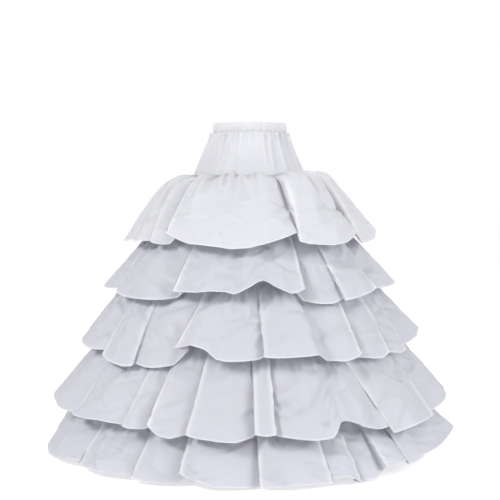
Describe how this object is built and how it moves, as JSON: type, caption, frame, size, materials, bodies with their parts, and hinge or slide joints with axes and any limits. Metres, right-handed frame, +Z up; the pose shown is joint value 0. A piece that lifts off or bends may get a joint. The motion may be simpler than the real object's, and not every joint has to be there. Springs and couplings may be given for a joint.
{
  "type": "hoop petticoat",
  "caption": "Floor-length white hoop petticoat: gathered waist, yoke, tiered ruffles, and steel hoops in casings inside a cone of cloth.",
  "frame": {"origin": "on the floor, under the centre of the waist; the hem of the lowest ruffle rests on it", "axes": "+Z up through the waist, -Y towards the front of the skirt, +X to the viewer's right"},
  "size_m": [1.2474, 1.2456, 0.98],
  "materials": {
    "waistband_cloth": "matt white plain-weave cloth, puckered over elastic",
    "elastic": "white knitted elastic",
    "yoke_cloth": "matt white plain-weave cloth, gathered",
    "underskirt_cloth": "matt white lining cloth",
    "upper_ruffle_cloth": "crisp white taffeta with a soft sheen",
    "lower_ruffle_cloth": "crisp white taffeta with a soft sheen, cool in the shade",
    "casing_tape": "white twill tape",
    "hoop_steel": "brushed flat spring steel",
    "sleeve_steel": "bright crimped steel"
  },
  "bodies": {
    "root": {"hoop_1": "hoop_steel", "hoop_2": "hoop_steel", "hoop_3": "hoop_steel", "hoop_4": "hoop_steel", "hoop_casing_1": "casing_tape", "hoop_casing_2": "casing_tape", "hoop_casing_3": "casing_tape", "hoop_casing_4": "casing_tape", "hoop_sleeve_1": "sleeve_steel", "hoop_sleeve_2": "sleeve_steel", "hoop_sleeve_3": "sleeve_steel", "hoop_sleeve_4": "sleeve_steel", "ruffle_1": "upper_ruffle_cloth", "ruffle_2": "lower_ruffle_cloth", "ruffle_3": "lower_ruffle_cloth", "ruffle_4": "lower_ruffle_cloth", "ruffle_5": "lower_ruffle_cloth", "underskirt": "underskirt_cloth", "waist_elastic": "elastic", "waistband": "waistband_cloth", "yoke": "yoke_cloth"}
  },
  "joints": []
}
